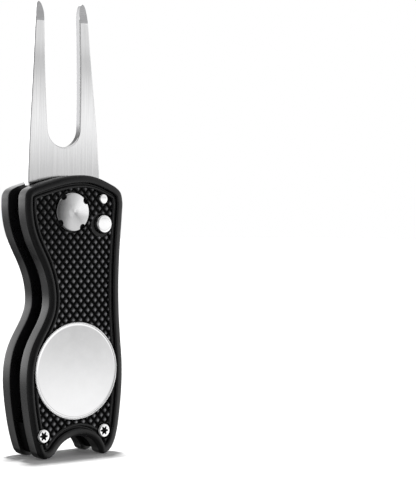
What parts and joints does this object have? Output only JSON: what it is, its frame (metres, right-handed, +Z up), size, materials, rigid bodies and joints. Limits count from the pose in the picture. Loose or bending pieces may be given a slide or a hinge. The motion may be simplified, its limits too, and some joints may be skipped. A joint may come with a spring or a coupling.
{
  "type": "folding divot repair tool",
  "caption": "Pocket divot repair tool with a spring fork that folds into a contoured handle, a release button and a lift-off magnetic ball marker.",
  "frame": {"origin": "bottom centre of the whole tool standing upright with its fork open", "axes": "+Z up along the tool from the tail to the fork tips, +X across the handle, +Y through the thickness; the decorated front with the marker faces -Y"},
  "size_m": [0.0302, 0.0126, 0.1169],
  "materials": {
    "handle_paint": "satin",
    "spacer_plastic": "matte",
    "fork_steel": "brushed",
    "bushing_brass": "plain",
    "pin_steel": "plain",
    "cap_steel": "turned",
    "spring_steel": "plain",
    "polished_steel": "polished",
    "marker_steel": "polished",
    "magnet_plate": "nickel plated"
  },
  "bodies": {
    "handle": {"front_scale": "handle_paint", "rear_scale": "handle_paint", "back_spacer": "spacer_plastic", "pivot_pin": "pin_steel", "pivot_cap": "cap_steel", "pivot_screw": "pin_steel", "front_washer": "bushing_brass", "rear_washer": "bushing_brass", "fork_spring": "spring_steel", "spring_anchor_pin": "pin_steel", "stop_pin": "polished_steel", "button_spring": "spring_steel", "tail_screws": "polished_steel", "marker_magnet": "magnet_plate"},
    "fork_arm": {"fork": "fork_steel", "fork_bushing": "bushing_brass"},
    "button": {"release_button": "polished_steel"},
    "marker": {"ball_marker": "marker_steel"}
  },
  "joints": [
    {"name": "fork_fold", "type": "hinge", "parent": "handle", "child": "fork_arm", "pos_m": [-0.00071, 0, 0.06281], "axis": [0, -1, 0], "range_deg": [0, 180], "stiffness_Nm_per_rad": 0.003, "deforming": ["fork_spring"]},
    {"name": "button_press", "type": "slide", "parent": "handle", "child": "button", "axis": [0, 1, 0], "range_m": [0, 0.0015], "stiffness_N_per_m": 600, "springref_m": -0.001, "deforming": ["button_spring"]},
    {"name": "marker_lift", "type": "slide", "parent": "handle", "child": "marker", "axis": [0, -1, 0], "range_m": [0, 0.012]}
  ]
}
